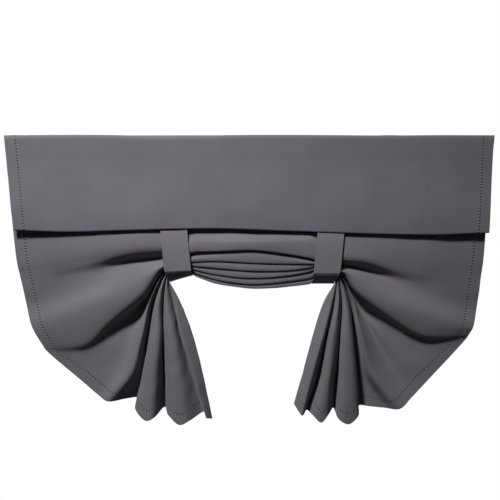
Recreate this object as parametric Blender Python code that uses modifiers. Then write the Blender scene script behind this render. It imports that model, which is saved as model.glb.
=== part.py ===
"""A tie-up window curtain: a gathered panel under a rod pocket, a flap over its top and two tie straps.

X runs along the rod, +Z is up and the front faces -Y. The origin is the middle of the rod's axis.
Sizes are in metres. Every piece is cloth: an open sheet that Solidify gives its thickness.
"""

import math

import bmesh
import bpy

# Cloth, and the air left between two pieces that are sewn face to face
CLOTH = 0.0006
STRAP_CLOTH = 0.0014
GAP = 0.0005

# Panel: the width along the rod, how far each side draws in as it hangs, and the drops below the top edge
PANEL_WIDTH = 1.176
SIDE_DRAW_IN = 0.020
FOLDS_DROP = 0.193
TIE_DROP = 0.330
TAIL_LENGTH = 0.355

# Rod pocket: the clear depth for the rod, and the drop of the seam that closes the pocket
ROD_SPACE = 0.018
POCKET_DROP = 0.050
POCKET_TURN = 0.004

# Flap: narrower than the pocket at each end, with the drop of its front and of the part sewn behind
FLAP_INSET = 0.002
FLAP_DROP = 0.233
FLAP_BACK_DROP = 0.040
FLAP_DRAW_IN = {"left": 0.026, "right": 0.015}
FLAP_STAND = 0.0165
FLAP_CORNER_STAND = 0.005
FLAP_CURVE = 1.5
FLAP_WAVE = 0.005
FLAP_WAVES_ACROSS = 0.8
FLAP_FREE_RISE = 0.004

# Tie straps: where each stands, the width and how far it leans inwards from top to tie
TIE_PLACES = {"left": -0.170, "right": 0.185}
STRAP_WIDTH = 0.064
STRAP_LEAN = 0.0275

# The loop that holds the gathers: its depths, its foot below the tie, and the height in which its
# underside turns. The underside is given by shares of the way back and of that height. Its outer edge is
# pinched in at the foot, and its inner edge is pulled up.
LOOP_FRONT = 0.0310
LOOP_BACK = 0.0095
LOOP_FOOTS = {"left": 0.024, "right": 0.028}
LOOP_ROUND = 0.034
LOOP_UNDERSIDE = ((0.045, 0.70), (0.20, 0.46), (0.45, 0.19), (0.66, 0.05), (0.82, 0.02), (0.95, 0.16))
STRAP_PINCH = {"left": 0.0110, "right": 0.0128}
FOOT_TILT = {"left": 0.016, "right": 0.0}

# Gathers: how far behind the rod's plane their middle lies, and where they leave the strap
BUNCH_MIDDLE = -0.011
GATHER_DROP = 0.310
GATHER_SHARE = 0.72
GATHER_REACH = 0.012
GATHER_PRESS = 0.80
MOUTH_CLEAR = 0.005
MOUTH_TUCK = {"left": 0.0138, "right": 0.0148}
MOUTH_SHARES = (0.48, 0.34)
LOOSE_SHARE = 0.90
INNER_SHARE = 0.40
INNER_SET_BACK = 0.010

# Swag between the straps: where the roll starts, then drops of its lower edges below the top edge, at
# five places from the left strap to the right one
ROLL_START_DEPTH = 0.010
ROLL_RISE_DEPTH = 0.018
ROLL_RISE_DROP = 0.236
ROLL_BELLY_DROP = 0.256
ROLL_FRONT = 0.029
SWAG_EDGES = (
    (0.280, 0.280, 0.2775, 0.287, 0.301),
    (0.3085, 0.3036, 0.308, 0.3103, 0.3115),
    (0.312, 0.3204, 0.327, 0.326, 0.3127),
    (0.3145, 0.3358, 0.3444, 0.338, 0.321),
    (0.3185, 0.3475, 0.3595, 0.353, 0.3395),
    (0.3235, 0.3565, 0.3690, 0.3645, 0.3535),
)
SWAG_FRONT = 0.026
SWAG_STEP = 0.0042
SWAG_BULGE = 0.006
SWAG_ROUND = 0.0012
SWAG_EDGE_BACK = 0.3
SWAG_TUCK = 0.011
TUCK_FORWARD = 0.4
TUCK_PRESS = 0.6
ROLL_GAPE_DEPTH = 0.007
ROLL_GAPE_SHARE = 0.5
BELLY_SHARE = 0.55
BELLY_GAPE_SHARE = 0.2
LAST_TUCK_FADES = 0.35
LAST_TUCK_FADE_SPAN = 0.3
LAST_TUCK_SHARE = 0.1
SWAG_HEM_DROPS = (0.350, 0.325, 0.302, 0.284, 0.270)
SWAG_HEM_LIFT = 0.010
SWAG_HEM_STEP = 0.0006

# How finely the sheets are divided: rows for each fold line, and columns for each span along it
STEPS = 2
WING_STEPS = (1, 3, 2, 2, 2)
SWAG_COLUMNS = 14
FLAP_COLUMNS = 20
STRAP_COLUMNS = 4
FLAP_HANGING_ROWS = 8
ARC_STEPS = 6

TOP = ROD_SPACE / 2 + CLOTH + GAP + CLOTH
STRAP_TOP_DROP = POCKET_DROP + POCKET_TURN + GAP

# Fold lines of each side, in order from the top round to the free inner edge. A line leaves the tie and
# passes four points: the share of the way to the side edge and the share of the tail's length below the
# tie, in hundredths. Then come its depths near the tie, half way and at its end, in fold units behind the
# rod's plane.
FOLD_UNIT = 0.001
LEFT_FOLDS = (
    ((30.5, -38.5), (52, -38.5), (73.5, -38.5), (95.2, -38.5), -12, -18, -15),
    ((30, -21), (51, -17), (72.5, -13), (92.5, -10), -26, -24, -17),
    ((29, -12.5), (49.5, -7), (71, -2), (90.5, 2), -23, -16, -10),
    ((28, -7.5), (46.5, -1), (68, 5), (88.5, 12.5), -2, -11, -8),
    ((26.3, -1), (45, 7), (64.5, 16), (86.5, 24), -17, -17, -8),
    ((24, 8), (42.5, 18), (62, 28.5), (83.5, 36.5), -32, -36, -18),
    ((20.6, 16), (38.6, 32), (55, 46.5), (77.5, 49), -28, -31, -14),
    ((20, 20), (36.8, 36.5), (51.5, 52.5), (73, 55.5), 14, -12, -11),
    ((19.2, 23), (32.5, 42), (46, 62), (56, 72.5), 12, -7, -8),
    ((17.8, 21.5), (26.2, 43), (35.5, 66.5), (46, 82.5), 5, -8, -9),
    ((16.2, 19.2), (20.8, 43.5), (27, 68), (40, 86.8), -22, -30, -20),
    ((15.2, 19.4), (18.4, 44), (22.8, 70), (31.5, 85.7), -8, 4, -2),
    ((14.4, 19.6), (17.6, 44), (21.2, 70), (27, 85), 6, 12, 8),
    ((13.8, 19.9), (17, 44), (20.8, 70), (24, 85.5), 10, 15, 12),
    ((13.2, 20.1), (16.5, 44), (20.5, 70), (24.5, 91.5), -12, -22, -24),
    ((11.5, 20.2), (13.6, 44.5), (16.8, 71.5), (18.6, 99), -26, -38, -38),
    ((9.7, 20.2), (9.8, 44.5), (11.7, 71.5), (13.2, 97), -20, -33, -34),
    ((8.7, 20.2), (8.8, 44.5), (8.6, 71.5), (8.2, 91.5), 4, 13, 15),
    ((8.1, 20.3), (7.8, 44.5), (6.4, 72), (5.7, 95.5), -12, -20, -24),
    ((6.5, 20.3), (4.5, 44.5), (2.4, 73), (-0.6, 102), -24, -36, -36),
    ((4.7, 20.2), (0.6, 44.5), (-3.2, 72), (-6.5, 99.5), -18, -30, -31),
    ((2.9, 20.2), (-1.3, 44), (-8.2, 71.5), (-14.4, 94.5), 1, 10, 10),
    ((2.2, 20.1), (-2, 43.5), (-9.5, 71), (-16, 97.5), -12, -22, -24),
    ((-1.2, 20), (-8.5, 43), (-14.5, 71), (-19.5, 99), -4, 1, 1),
)
RIGHT_FOLDS = (
    ((23.5, -38.5), (48, -38.5), (72, -38.5), (95, -38.5), -12, -18, -15),
    ((23.5, -17), (47.5, -14), (71, -12), (93, -10), -26, -22, -16),
    ((23.5, -7), (46, -1), (69.5, 1), (91.5, 3), -26, -17, -12),
    ((23.5, -2), (44, 5.5), (67.5, 11), (90.5, 13), -2, -10, -10),
    ((22.5, 2), (42.5, 11.5), (66.5, 20), (89, 25), -17, -17, -8),
    ((21, 5.5), (40, 20), (61.5, 30), (87, 35.5), -31, -40, -20),
    ((18.9, 14), (38, 29.5), (58, 42), (84.5, 41.5), -27, -33, -16),
    ((18.9, 19), (36, 33.5), (56, 46), (80, 48.5), 17, -8, -10),
    ((18.4, 23), (31.5, 41), (46, 61), (60, 73), 15, -3, -8),
    ((17.3, 21), (26.8, 41.5), (39, 67), (50.5, 84.5), 8, 5, -8),
    ((15.9, 18.8), (20, 41), (26.6, 68), (43.3, 91.8), -22, -32, -20),
    ((15.2, 19.4), (18.4, 42.5), (22.9, 69), (34.5, 91.5), -8, 4, -3),
    ((14.6, 19.8), (17.2, 43), (20.6, 70), (26.5, 91), 6, 12, 8),
    ((13.9, 20.1), (16.2, 43), (18.6, 70), (19.5, 90.5), 10, 15, 12),
    ((13.2, 20.3), (15.7, 44), (17.6, 70), (18.8, 96), -12, -22, -24),
    ((11.5, 20.6), (13, 44.5), (14, 71.5), (12.8, 101.5), -26, -38, -38),
    ((9.7, 20.8), (8.6, 44.5), (8, 71.5), (6.6, 98), -20, -33, -34),
    ((9.1, 20.8), (8.1, 44.5), (6.4, 71.5), (4.4, 92), 4, 13, 15),
    ((8.1, 20.8), (6.9, 44.5), (3.5, 71.5), (1.2, 95), -12, -20, -24),
    ((6.8, 20.8), (4, 44), (1, 72), (-3.5, 100.5), -24, -36, -36),
    ((5.6, 20.8), (1, 44), (-3.2, 71.5), (-9.4, 95.5), -18, -30, -30),
    ((4.2, 20.8), (-0.6, 44), (-6.6, 71.5), (-12, 93.5), 1, 10, 10),
    ((2.8, 20.8), (-2.6, 44), (-9.4, 71.5), (-14.8, 96), -14, -28, -26),
    ((-2, 20.8), (-8.5, 44), (-15, 71.5), (-19.5, 89), -4, 1, 1),
)
FOLDS = {"left": LEFT_FOLDS, "right": RIGHT_FOLDS}

# Where the fold lines leave the strap: shares of the tail's length above (-) or below the tie, in
# hundredths. The first lines are free of the bunch, and the rest leave it one under another.
MOUTH_DROPS = {
    "left": (-38.5, -22.0, -14.5, -10.0, -6.5, -3.8),
    "right": (-38.5, -19.0, -9.0, -5.0, -2.3, -0.8),
}
MOUTH_FIRST = {"left": -1.3, "right": 0.6}
MOUTH_LAST = {"left": 5.0, "right": 5.6}
JOINED_LINES = 3


def through(points, place):
    """The point at `place`, counted in spans, on a smooth curve through all of `points`."""
    last = len(points) - 1
    span = min(max(int(place), 0), last - 1)
    t = place - span
    a, b = points[span], points[span + 1]
    before = points[span - 1] if span > 0 else [2 * p - q for p, q in zip(a, b)]
    after = points[span + 2] if span + 2 <= last else [2 * q - p for p, q in zip(a, b)]
    return [
        0.5 * (2 * q + (r - p) * t + (2 * p - 5 * q + 4 * r - s) * t * t + (3 * q - p - 3 * r + s) * t ** 3)
        for p, q, r, s in zip(before, a, b, after)
    ]


def mix(a, b, share):
    return a + (b - a) * share


def ease(share):
    """A smooth step from 0 to 1 as the share goes from 0 to 1."""
    share = min(max(share, 0.0), 1.0)
    return share * share * (3 - 2 * share)


def half_width(drop):
    """Half of the hanging panel's width at a drop below the top edge, above the folds."""
    return PANEL_WIDTH / 2 - SIDE_DRAW_IN * min(drop / FOLDS_DROP, 1.0)


def bunched(depth, share):
    """A fold's depth where the strap presses it towards the middle of the bunch."""
    return mix(BUNCH_MIDDLE, depth, share)


def mouth(side, number):
    """Where a fold line comes out from under the strap: how far out, how far below the tie, how free."""
    edge = STRAP_WIDTH / 2 + MOUTH_CLEAR
    loose = len(MOUTH_DROPS[side])
    if number < loose:
        return edge, TAIL_LENGTH * MOUTH_DROPS[side][number] / 100, LOOSE_SHARE
    share = (number - loose) / (len(FOLDS[side]) - 1 - loose)
    drop = mix(MOUTH_FIRST[side], MOUTH_LAST[side], share)
    return edge - MOUTH_TUCK[side] * share, TAIL_LENGTH * drop / 100, mix(*MOUTH_SHARES, share)


def fold_line(side, number):
    """Points of one fold line, from under the strap out to the side edge or the hem."""
    *places, near, middle, end = FOLDS[side][number]
    towards = math.copysign(1, TIE_PLACES[side])
    reach = PANEL_WIDTH / 2 - abs(TIE_PLACES[side])
    out_of_strap, drop, free = mouth(side, number)
    inner_drop = min(drop, mix(drop, TAIL_LENGTH * MOUTH_FIRST[side] / 100, 0.45))
    depths = [FOLD_UNIT * depth for depth in (near, mix(near, middle, 0.8), mix(middle, end, 0.4), end)]
    inner = (INNER_SET_BACK, TIE_DROP + inner_drop, bunched(depths[0], INNER_SHARE))
    if number <= JOINED_LINES:
        inner = (0.0, *reversed(held_point(number, 0.0 if side == "left" else 1.0)))
    points = [inner, (out_of_strap, TIE_DROP + drop, bunched(depths[0], free))]
    for (out, fall), depth in zip(places, depths):
        points.append((reach * out / 100, TIE_DROP + TAIL_LENGTH * fall / 100, depth))
    return [(TIE_PLACES[side] + towards * out, depth, TOP - down) for out, down, depth in points]


def swag_edge(number, share):
    """Drop of one of the swag's lower edges at a share of the way between the straps."""
    keys = [[drop] for drop in SWAG_EDGES[number]]
    return through(keys, share * (len(keys) - 1))[0]


def swag_line(share):
    """Points down the sheet at a share of the way between the straps, each a depth and a drop."""
    arch = (4 * share * (1 - share)) ** 2
    gape = (1 - 2 * share) ** 2
    fronts = [-SWAG_FRONT + number * SWAG_STEP - SWAG_BULGE * arch for number in range(len(SWAG_EDGES))]
    fronts[0] = -ROLL_FRONT - SWAG_BULGE * arch
    edges = [swag_edge(number, share) for number in range(len(SWAG_EDGES))]
    points = [(-ROLL_START_DEPTH, FOLDS_DROP), (-ROLL_RISE_DEPTH, ROLL_RISE_DROP)]
    points += [(fronts[0], ROLL_BELLY_DROP), (fronts[0] + SWAG_STEP * SWAG_EDGE_BACK, edges[0])]
    for number in range(1, len(SWAG_EDGES)):
        tuck_depth = fronts[number] - SWAG_STEP * TUCK_FORWARD
        tuck_drop = edges[number - 1] - SWAG_TUCK * (1 - TUCK_PRESS * gape)
        belly = BELLY_SHARE
        if number == 1:
            tuck_depth += ROLL_GAPE_DEPTH * gape
            tuck_drop = mix(tuck_drop, edges[1], ROLL_GAPE_SHARE * gape)
            belly += BELLY_GAPE_SHARE * gape
        if number == len(SWAG_EDGES) - 1:
            flat = ease((share - LAST_TUCK_FADES) / LAST_TUCK_FADE_SPAN)
            tuck_depth = mix(tuck_depth, fronts[number], flat)
            tuck_drop = mix(tuck_drop, mix(edges[number - 1], edges[number], LAST_TUCK_SHARE), flat)
        points.append((tuck_depth, tuck_drop))
        points.append((fronts[number] - SWAG_ROUND, mix(edges[number - 1], edges[number], belly)))
        points.append((fronts[number] + SWAG_STEP * SWAG_EDGE_BACK, edges[number]))
    back = -SWAG_FRONT + len(SWAG_EDGES) * SWAG_STEP
    for number, drop in enumerate(SWAG_HEM_DROPS):
        level = min(drop + SWAG_HEM_LIFT * arch, edges[-1] - SWAG_TUCK)
        points.append((back + SWAG_HEM_STEP * number, level))
    return points


def held_point(number, share):
    """Depth and drop of one point of the swag's line where a strap presses it."""
    depth, drop = swag_line(share)[number]
    if number:
        depth, drop = bunched(depth, GATHER_PRESS), mix(GATHER_DROP, drop, GATHER_SHARE)
    return depth, drop


def swag_point(share, place, slit):
    """A point between the straps: share of the way across, and fold number. Past the slit the edges part."""
    left, right = TIE_PLACES["left"], TIE_PLACES["right"]
    x = mix(left, right, share)
    free = ease(min(x - left, right - x) / (STRAP_WIDTH / 2 + GATHER_REACH))
    keys = []
    for number, loose in enumerate(swag_line(share)):
        held = held_point(number, round(share))
        keys.append((mix(held[0], loose[0], free), mix(held[1], loose[1], free)))
    depth, drop = through(keys, place)
    if slit:
        x += math.copysign(GAP + CLOTH, 0.5 - share) * (1 - free)
    return (x, depth, TOP - drop)


def pocket_profile():
    """Depth and height along the panel's top, from the seam behind, over the rod and down the front."""
    radius = ROD_SPACE / 2 + CLOTH / 2
    seam = TOP - POCKET_DROP
    layer = -radius + CLOTH + GAP
    points = [(layer, seam - POCKET_TURN), (layer, seam)]
    points += [(radius * 0.75, mix(seam, 0, 0.4)), (radius, mix(seam, 0, 0.7))]
    for step in range(ARC_STEPS + 1):
        angle = math.pi * step / ARC_STEPS
        points.append((radius * math.cos(angle), radius * math.sin(angle)))
    points.append((-radius, seam))
    return points


POCKET = pocket_profile()
POCKET_ROWS = len(POCKET) - 1
PLAIN_ROWS = 3
FOLD_ROW = POCKET_ROWS + PLAIN_ROWS
SLIT_ROW = FOLD_ROW + JOINED_LINES * STEPS
ROWS = FOLD_ROW + (len(LEFT_FOLDS) - 1) * STEPS
WING_COLUMNS = sum(WING_STEPS)
COLUMNS = 2 * WING_COLUMNS + SWAG_COLUMNS


def along_line(column):
    """How far out along the fold lines a column lies, counted in spans."""
    for span, steps in enumerate(WING_STEPS):
        if column <= steps:
            return span + column / steps
        column -= steps
    return len(WING_STEPS)


def wing_point(side, column, place):
    """A point of a gathered side: columns count out from the strap, and place counts fold lines."""
    keys = [through(fold_line(side, number), along_line(column)) for number in range(len(FOLDS[side]))]
    return through(keys, place)


def panel_point(column, row, zone):
    """Where a grid point of the panel hangs. A zone is a side's name, or the swag between the straps."""
    if row >= FOLD_ROW:
        place = (row - FOLD_ROW) / STEPS
        if zone == "swag":
            return swag_point((column - WING_COLUMNS) / SWAG_COLUMNS, place, row > SLIT_ROW)
        steps_out = WING_COLUMNS - column if zone == "left" else column - WING_COLUMNS - SWAG_COLUMNS
        return wing_point(zone, steps_out, place)
    x, depth, height = panel_point(column, FOLD_ROW, zone)
    if row > POCKET_ROWS:
        share = (row - POCKET_ROWS) / PLAIN_ROWS
        top_depth, top_height = POCKET[-1]
        depth, height = mix(top_depth, depth, share), mix(top_height, height, share)
    else:
        depth, height = POCKET[row]
    spread = half_width(TOP - height) / half_width(FOLDS_DROP)
    return (x * spread, depth, height)


def grid_mesh(name, columns, rows, slit_columns=(), slit_row=0):
    """A flat grid whose points carry their column and row, slit below a row along some columns."""
    bm = bmesh.new()
    bmesh.ops.create_grid(bm, x_segments=columns, y_segments=rows, size=1)
    column_layer = bm.verts.layers.int.new("column")
    row_layer = bm.verts.layers.int.new("row")
    for vert in bm.verts:
        vert[column_layer] = round((vert.co.x + 1) / 2 * columns)
        vert[row_layer] = round((1 - vert.co.y) / 2 * rows)
    slits = [
        edge
        for edge in bm.edges
        if all(vert[column_layer] in slit_columns and vert[row_layer] >= slit_row for vert in edge.verts)
    ]
    bmesh.ops.split_edges(bm, edges=slits)
    return bm, column_layer, row_layer


def cloth_object(name, bm, thickness, material, collection):
    """An object of one sheet, with its thickness as a live modifier.

    The warped squares are split first, so that both faces of the cloth bend along the same diagonals.
    """
    mesh = bpy.data.meshes.new(name)
    bmesh.ops.triangulate(bm, faces=bm.faces, quad_method="SHORT_EDGE")
    bmesh.ops.recalc_face_normals(bm, faces=bm.faces)
    bm.to_mesh(mesh)
    bm.free()
    mesh.shade_smooth()
    obj = bpy.data.objects.new(name, mesh)
    obj.data.materials.append(material)
    collection.objects.link(obj)
    solidify = obj.modifiers.new("cloth_thickness", "SOLIDIFY")
    solidify.thickness = thickness
    solidify.offset = 0.0
    return obj


def make_panel(material, collection):
    """The gathered panel, one cloth from its rod pocket down to its hems."""
    ties = (WING_COLUMNS, WING_COLUMNS + SWAG_COLUMNS)
    bm, column_layer, row_layer = grid_mesh("curtain_panel", COLUMNS, ROWS, ties, SLIT_ROW)
    placed = []
    for vert in bm.verts:
        column, row = vert[column_layer], vert[row_layer]
        middle = sum(face.calc_center_median().x for face in vert.link_faces) / len(vert.link_faces)
        zone = "swag"
        if column < ties[0] or (column == ties[0] and row > SLIT_ROW and middle < vert.co.x):
            zone = "left"
        elif column > ties[1] or (column == ties[1] and row > SLIT_ROW and middle > vert.co.x):
            zone = "right"
        placed.append((vert, panel_point(column, row, zone)))
    for vert, point in placed:
        vert.co = point
    return cloth_object("curtain_panel", bm, CLOTH, material, collection)


def flap_profile():
    """Depth and height along the flap, from its seam behind, over the pocket and down the front."""
    radius = ROD_SPACE / 2 + CLOTH + GAP + CLOTH / 2
    front = radius + STRAP_CLOTH + GAP
    points = [(radius, TOP - FLAP_BACK_DROP), (radius, TOP - FLAP_BACK_DROP / 2 - radius / 2)]
    for step in range(ARC_STEPS + 1):
        angle = math.pi * step / ARC_STEPS
        points.append((radius * math.cos(angle), radius * math.sin(angle)))
    points.append((-front, TOP - STRAP_TOP_DROP + FLAP_FREE_RISE))
    return points


def make_flap(material, collection):
    """The flap that covers the pocket and hangs over the tops of the folds."""
    profile = flap_profile()
    bm, column_layer, row_layer = grid_mesh("valance_flap", FLAP_COLUMNS, len(profile) - 1 + FLAP_HANGING_ROWS)
    for vert in bm.verts:
        across = 2 * vert[column_layer] / FLAP_COLUMNS - 1
        row = vert[row_layer]
        if row < len(profile):
            depth, height = profile[row]
        else:
            share = (row - len(profile) + 1) / FLAP_HANGING_ROWS
            hem = TOP - FLAP_DROP - FLAP_WAVE * math.sin(FLAP_WAVES_ACROSS * math.pi * across)
            stand = FLAP_STAND + FLAP_CORNER_STAND * abs(across) ** 3
            depth = profile[-1][0] - stand * math.sin(share ** FLAP_CURVE * math.pi / 2)
            height = mix(profile[-1][1], hem, share)
        drawn = FLAP_DRAW_IN["left" if across < 0 else "right"]
        half = PANEL_WIDTH / 2 - FLAP_INSET - drawn * max(TOP - height, 0) / FLAP_DROP
        vert.co = (across * half, depth, height)
    return cloth_object("valance_flap", bm, CLOTH, material, collection)


def strap_profile(foot):
    """Depth and drop along a strap, from its seam under the flap, round the gathers and up behind."""
    against = ROD_SPACE / 2 + CLOTH + GAP + STRAP_CLOTH / 2
    behind = -ROD_SPACE / 2 + GAP + STRAP_CLOTH / 2
    slack = STRAP_CLOTH + GAP
    points = [(-against, STRAP_TOP_DROP), (-against - slack, mix(STRAP_TOP_DROP, FOLDS_DROP, 0.5))]
    points.append((mix(-against, -LOOP_FRONT, 0.45), FOLDS_DROP))
    points.append((-LOOP_FRONT, mix(FOLDS_DROP, TIE_DROP, 0.5)))
    points.append((-LOOP_FRONT, foot - LOOP_ROUND))
    for back, rise in LOOP_UNDERSIDE:
        points.append((mix(-LOOP_FRONT, LOOP_BACK, back), foot - LOOP_ROUND * rise))
    points.append((LOOP_BACK, foot - LOOP_ROUND))
    points.append((LOOP_BACK, SWAG_HEM_DROPS[-1] - POCKET_TURN))
    points.append((mix(behind, LOOP_BACK, 0.5), FOLDS_DROP))
    points.append((behind + slack, mix(STRAP_TOP_DROP, FOLDS_DROP, 0.5)))
    points.append((behind, STRAP_TOP_DROP))
    return points


def make_strap(side, material, collection):
    """One tie strap, a doubled band sewn in under the flap, with its other end sewn in behind."""
    foot = TIE_DROP + LOOP_FOOTS[side]
    profile = strap_profile(foot)
    name = side + "_tie_strap"
    bm, column_layer, row_layer = grid_mesh(name, STRAP_COLUMNS, (len(profile) - 1) * STEPS)
    inward = -math.copysign(1, TIE_PLACES[side])
    for vert in bm.verts:
        depth, drop = through(profile, vert[row_layer] / STEPS)
        across = vert[column_layer] / STRAP_COLUMNS - 0.5
        outward = 0.5 - inward * across
        lean = STRAP_LEAN * (drop - TIE_DROP) / (TIE_DROP - STRAP_TOP_DROP)
        low = min(max((drop - foot + LOOP_ROUND) / LOOP_ROUND, 0.0), 1.0) ** 1.5
        x = TIE_PLACES[side] + inward * lean + across * STRAP_WIDTH
        x += inward * STRAP_PINCH[side] * low * outward ** 2
        level = drop - FOOT_TILT[side] * low * (1 - outward)
        vert.co = (x, depth, TOP - level)
    return cloth_object(name, bm, STRAP_CLOTH, material, collection)


def cloth_material(name, colour, roughness):
    """A plain woven finish."""
    material = bpy.data.materials.new(name)
    material.use_nodes = True
    shader = material.node_tree.nodes["Principled BSDF"]
    shader.inputs["Base Color"].default_value = (*colour, 1.0)
    shader.inputs["Roughness"].default_value = roughness
    shader.inputs["Metallic"].default_value = 0.0
    return material


def main():
    for obj in list(bpy.data.objects):
        bpy.data.objects.remove(obj)
    collection = bpy.data.collections.new("window_curtain")
    bpy.context.scene.collection.children.link(collection)
    make_panel(cloth_material("panel_cloth", (0.137, 0.134, 0.154), 0.9), collection)
    make_flap(cloth_material("flap_cloth", (0.140, 0.137, 0.157), 0.9), collection)
    for side in TIE_PLACES:
        make_strap(side, cloth_material(side + "_strap_cloth", (0.145, 0.142, 0.162), 0.88), collection)


main()
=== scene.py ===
# %% [markdown]
# # A tie-up window curtain
#
# The real thing is a ready-made blackout curtain for a small window. Its cloth is sewn into a pocket
# at the top, a flap hides the pocket, and two bands tie the cloth up. Everything is sheet, so the
# whole lesson is about placing sheets well: fold lines first, then a fine grid laid through them.
#
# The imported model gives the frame: the same sizes and the same place, in metres, with +Z up and the
# front facing -Y. The origin is the middle of the rod's axis.

import math

import bmesh
import bpy
import numpy as np
from mathutils import Matrix, Vector, noise


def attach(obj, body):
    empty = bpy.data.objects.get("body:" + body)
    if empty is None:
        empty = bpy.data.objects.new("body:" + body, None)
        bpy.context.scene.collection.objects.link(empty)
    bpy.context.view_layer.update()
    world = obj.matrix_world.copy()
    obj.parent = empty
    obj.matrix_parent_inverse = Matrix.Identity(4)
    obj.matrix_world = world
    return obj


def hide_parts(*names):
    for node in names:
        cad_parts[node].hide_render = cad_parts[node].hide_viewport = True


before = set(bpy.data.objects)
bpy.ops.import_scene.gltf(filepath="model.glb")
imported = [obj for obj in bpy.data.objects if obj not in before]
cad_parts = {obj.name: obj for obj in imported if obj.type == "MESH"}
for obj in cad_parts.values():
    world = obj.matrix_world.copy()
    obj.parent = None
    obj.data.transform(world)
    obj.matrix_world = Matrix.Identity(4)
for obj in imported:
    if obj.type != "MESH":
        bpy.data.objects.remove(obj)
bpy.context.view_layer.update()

# %% [markdown]
# ## Curves through points
#
# Hanging cloth has no corners, so every shape here is a smooth curve through a few chosen points.
# A Catmull-Rom curve is the handy kind: it passes through its points, and it needs no handles.
# Written for numpy it takes whole rows of points at once, which keeps a fine mesh quick to make.


# %% Smooth curves and mixes
def smooth_through(keys, places):
    """Points at `places`, counted in spans, on smooth curves through the rows of `keys`."""
    keys = np.asarray(keys, dtype=float)
    ends = np.concatenate([2 * keys[:1] - keys[1:2], keys, 2 * keys[-1:] - keys[-2:-1]])
    places = np.clip(np.asarray(places, dtype=float), 0, len(keys) - 1)
    span = np.minimum(places.astype(int), len(keys) - 2)
    t = (places - span).reshape((-1,) + (1,) * (keys.ndim - 1))
    p, q, r, s = (ends[span + step] for step in range(4))
    bend, twist = 2 * p - 5 * q + 4 * r - s, 3 * q - p - 3 * r + s
    return 0.5 * (2 * q + (r - p) * t + bend * t**2 + twist * t**3)


def mix(a, b, share):
    """The value at a share of the way from a to b."""
    return a + (b - a) * share


def ease(share):
    """0 to 1 with a soft start and end."""
    share = np.clip(share, 0, 1)
    return share * share * (3 - 2 * share)


print("A curve through 0, 1, 0 has the middle value", float(smooth_through([[0], [1], [0]], [1.0])[0, 0]))

# %% [markdown]
# ## The camera
#
# The photograph looks straight at the curtain from the front, and its sides don't converge, so the
# camera stands well back with a long lens. The picture is square and spans 1.2 m at the curtain, which
# makes one of its 500 pixels 2.4 mm.

# %% Camera
PICTURE_SPAN = 1.2
PICTURE_PIXELS = 500
PIXEL = PICTURE_SPAN / PICTURE_PIXELS
TOP_EDGE = 0.0107
CURTAIN_MIDDLE_PX = 249.3
TOP_EDGE_PX = 134.7
LENS_MM = 100
FILM_MM = 36

camera_data = bpy.data.cameras.new("photo_camera")
camera_data.lens = LENS_MM
camera_data.sensor_width = FILM_MM
camera = bpy.data.objects.new("photo_camera", camera_data)
camera.location = (
    (PICTURE_PIXELS / 2 - CURTAIN_MIDDLE_PX) * PIXEL,
    -PICTURE_SPAN * LENS_MM / FILM_MM,
    TOP_EDGE - (PICTURE_PIXELS / 2 - TOP_EDGE_PX) * PIXEL,
)
camera.rotation_euler = (math.pi / 2, 0, 0)
bpy.context.scene.collection.objects.link(camera)
bpy.context.scene.camera = camera
bpy.context.scene.view_settings.view_transform = "Standard"
print("Camera at", [round(v, 4) for v in camera.location])

# %% [markdown]
# ## Three helpers
#
# The first adds a shader node with its settings and links, and every finish below uses it. The second
# turns an sRGB hex colour into the linear values that Blender works with. The third makes an object
# from a finished bmesh, at the origin.


# %% Helpers for nodes, colours and pieces
def add_node(tree, kind, links=(), **settings):
    """A new node with its settings. A link is an (input, value) pair, where the value may be a socket."""
    node = tree.nodes.new(kind)
    for name, value in settings.items():
        if name in node.inputs:
            node.inputs[name].default_value = value
        else:
            setattr(node, name, value)
    for socket, source in links:
        if isinstance(source, bpy.types.NodeSocket):
            tree.links.new(source, node.inputs[socket])
        else:
            node.inputs[socket].default_value = source
    return node


def linear(hex_colour):
    """An sRGB hex colour as linear red, green, blue and alpha."""
    shares = [int(hex_colour[start:start + 2], 16) / 255 for start in (1, 3, 5)]
    return tuple(c / 12.92 if c <= 0.04045 else ((c + 0.055) / 1.055) ** 2.4 for c in shares) + (1.0,)


def new_piece(name, bm, material):
    """An object at the origin with the mesh that a bmesh holds."""
    mesh = bpy.data.meshes.new(name)
    bm.to_mesh(mesh)
    bm.free()
    mesh.materials.append(material)
    piece = bpy.data.objects.new(name, mesh)
    bpy.context.scene.collection.objects.link(piece)
    return piece


print("Helpers ready; #808080 is", round(linear("#808080")[0], 3), "in linear light")

# %% [markdown]
# ## Light
#
# One soft box stands high at the left and in front. Dark cloth gives little light back, so with a weak
# fill its deep folds go nearly black, as they do in the photograph. A third lamp stands behind, level
# with the curtain, so that its back can be seen too. It hardly reaches a face that the front camera
# sees, and no camera sees the lamp itself.


# %% Soft boxes
def soft_box(name, place, aim, size, watts, spread=180):
    """A square area light that faces a point."""
    light = bpy.data.lights.new(name, "AREA")
    light.shape = "SQUARE"
    light.size = size
    light.energy = watts
    light.spread = math.radians(spread)
    box = bpy.data.objects.new(name, light)
    box.location = place
    box.rotation_euler = (Vector(aim) - Vector(place)).to_track_quat("-Z", "Y").to_euler()
    bpy.context.scene.collection.objects.link(box)
    return box


KEY_AIM = Vector((-0.3, 0, 0.1))
KEY_DISTANCE = 4.0
KEY_AZIMUTH = math.radians(22)
KEY_HEIGHT = math.radians(46)
FILL_PLACE = (0.3, -3.2, 0.3)
BACK_PLACE = (0.5, 3.4, 0.1)
CURTAIN_MIDDLE = (0, 0, -0.3)

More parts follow.
